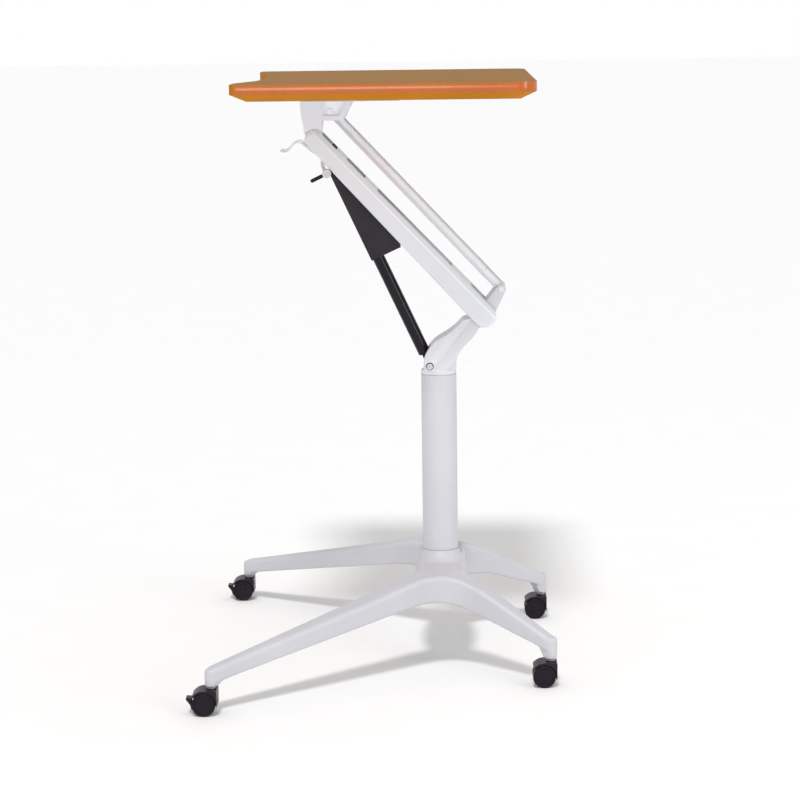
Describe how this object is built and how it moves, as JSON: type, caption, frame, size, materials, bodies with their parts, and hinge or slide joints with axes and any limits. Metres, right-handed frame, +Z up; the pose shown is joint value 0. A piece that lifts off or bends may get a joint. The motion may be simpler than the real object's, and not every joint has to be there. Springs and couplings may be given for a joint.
{
  "type": "height-adjustable laptop desk",
  "caption": "Mobile stand-up laptop desk: scooped wooden top on a gas-spring parallelogram arm, round column and splayed legs on casters.",
  "frame": {"origin": "on the floor, at the centre of the footprint rectangle of the whole desk at rest", "axes": "+Z up, -Y towards the user (scooped edge of the top), +X to the user's right when the user faces the desk"},
  "size_m": [0.8166, 0.6296, 1.047],
  "materials": {
    "top_laminate": "matte laminate face with glossy orange-brown edge",
    "white_casting": "satin white powder coat on cast aluminium",
    "white_steel": "satin white powder coat on steel",
    "black_steel": "gloss black",
    "chrome": "polished",
    "zinc": "zinc plated",
    "nylon": "moulded",
    "grey_plastic": "moulded",
    "black_plastic": "fine grain, soft sheen",
    "black_rubber": "matte"
  },
  "bodies": {
    "base": {"leg_base": "white_casting", "column_foot_ring": "white_casting", "column_tube": "white_steel", "column_plug": "nylon", "column_collar": "white_casting", "column_head": "white_casting", "tie_bolt": "zinc", "tie_washer": "zinc", "pivot_pin_lower": "zinc", "pivot_washers_lower": "nylon", "link_pin_lower": "zinc", "spring_bolt": "zinc", "spring_bolt_washers": "black_steel", "spring_bolt_nut": "zinc"},
    "arm": {"arm_channel": "white_casting", "pivot_pin_upper": "zinc", "pivot_washers_upper": "nylon", "bump_stop": "black_rubber", "lever_pin": "zinc", "handle_bracket": "white_steel", "handle_pin": "zinc"},
    "table": {"tabletop": "top_laminate", "mounting_plate": "white_steel", "plate_screws": "zinc", "table_bracket": "white_casting", "bracket_screws": "zinc", "link_pin_upper": "zinc", "link_washers_upper": "nylon"},
    "link": {"link_channel": "white_steel"},
    "spring_body": {"gas_cylinder": "black_steel", "cylinder_eye": "black_steel"},
    "spring_rod": {"piston_rod": "chrome", "rod_eye": "black_steel", "rod_pin": "zinc", "shroud": "black_plastic"},
    "lever": {"release_lever": "chrome"},
    "handle": {"handle_boss": "grey_plastic", "stick_handle": "black_plastic"},
    "caster_front_right": {"caster_stem_front_right": "zinc", "caster_housing_front_right": "black_plastic", "caster_axle_front_right": "zinc"},
    "wheels_front_right": {"caster_wheels_front_right": "black_plastic"},
    "brake_front_right": {"brake_pedal_front_right": "black_plastic"},
    "caster_front_left": {"caster_stem_front_left": "zinc", "caster_housing_front_left": "black_plastic", "caster_axle_front_left": "zinc"},
    "wheels_front_left": {"caster_wheels_front_left": "black_plastic"},
    "brake_front_left": {"brake_pedal_front_left": "black_plastic"},
    "caster_back_right": {"caster_stem_back_right": "zinc", "caster_housing_back_right": "black_plastic", "caster_axle_back_right": "zinc"},
    "wheels_back_right": {"caster_wheels_back_right": "black_plastic"},
    "caster_back_left": {"caster_stem_back_left": "zinc", "caster_housing_back_left": "black_plastic", "caster_axle_back_left": "zinc"},
    "wheels_back_left": {"caster_wheels_back_left": "black_plastic"}
  },
  "joints": [
    {"name": "arm_lift", "type": "hinge", "parent": "base", "child": "arm", "pos_m": [0, 0.19525, 0.622], "axis": [1, 0, 0], "range_deg": [0, 46]},
    {"name": "table_level", "type": "hinge", "parent": "arm", "child": "table", "pos_m": [0, -0.10404, 0.9396], "axis": [1, 0, 0], "range_deg": [-46, 0]},
    {"name": "link_swing", "type": "hinge", "parent": "base", "child": "link", "pos_m": [0, 0.22525, 0.67], "axis": [1, 0, 0], "range_deg": [0, 46]},
    {"name": "spring_tilt", "type": "hinge", "parent": "base", "child": "spring_body", "pos_m": [0, 0.09675, 0.5318], "axis": [1, 0, 0], "range_deg": [0, 46.46]},
    {"name": "spring_stroke", "type": "slide", "parent": "spring_body", "child": "spring_rod", "axis": [0, -0.4215, 0.9068], "range_m": [-0.104, 0]},
    {"name": "lever_squeeze", "type": "hinge", "parent": "arm", "child": "lever", "pos_m": [0, -0.09623, 0.91673], "axis": [1, 0, 0], "range_deg": [-6, 0], "stiffness_Nm_per_rad": 0.6},
    {"name": "handle_turn", "type": "hinge", "parent": "arm", "child": "handle", "pos_m": [0, -0.08185, 0.8788], "axis": [1, 0, 0], "range_deg": [-30, 30]},
    {"name": "swivel_front_right", "type": "hinge", "parent": "base", "child": "caster_front_right", "pos_m": [0.388, -0.27295, 0.048], "axis": [0, 0, 1], "continuous": true},
    {"name": "roll_front_right", "type": "hinge", "parent": "caster_front_right", "child": "wheels_front_right", "pos_m": [0.388, -0.28495, 0.02], "axis": [1, 0, 0], "continuous": true},
    {"name": "brake_front_right", "type": "hinge", "parent": "caster_front_right", "child": "brake_front_right", "pos_m": [0.388, -0.28495, 0.02], "axis": [1, 0, 0], "range_deg": [0, 10]},
    {"name": "swivel_front_left", "type": "hinge", "parent": "base", "child": "caster_front_left", "pos_m": [-0.388, -0.27295, 0.048], "axis": [0, 0, 1], "continuous": true},
    {"name": "roll_front_left", "type": "hinge", "parent": "caster_front_left", "child": "wheels_front_left", "pos_m": [-0.388, -0.28495, 0.02], "axis": [1, 0, 0], "continuous": true},
    {"name": "brake_front_left", "type": "hinge", "parent": "caster_front_left", "child": "brake_front_left", "pos_m": [-0.388, -0.28495, 0.02], "axis": [1, 0, 0], "range_deg": [0, 10]},
    {"name": "swivel_back_right", "type": "hinge", "parent": "base", "child": "caster_back_right", "pos_m": [0.2326, 0.30375, 0.048], "axis": [0, 0, 1], "continuous": true},
    {"name": "roll_back_right", "type": "hinge", "parent": "caster_back_right", "child": "wheels_back_right", "pos_m": [0.2326, 0.29175, 0.02], "axis": [1, 0, 0], "continuous": true},
    {"name": "swivel_back_left", "type": "hinge", "parent": "base", "child": "caster_back_left", "pos_m": [-0.2326, 0.30375, 0.048], "axis": [0, 0, 1], "continuous": true},
    {"name": "roll_back_left", "type": "hinge", "parent": "caster_back_left", "child": "wheels_back_left", "pos_m": [-0.2326, 0.29175, 0.02], "axis": [1, 0, 0], "continuous": true}
  ],
  "couplings": [
    {"joint": "table_level", "follows": "arm_lift", "ratio": -1},
    {"joint": "link_swing", "follows": "arm_lift", "ratio": 1},
    {"joint": "spring_tilt", "follows": "arm_lift", "ratio": 1.01},
    {"joint": "spring_stroke", "follows": "arm_lift", "m_per_rad": -0.1295}
  ]
}
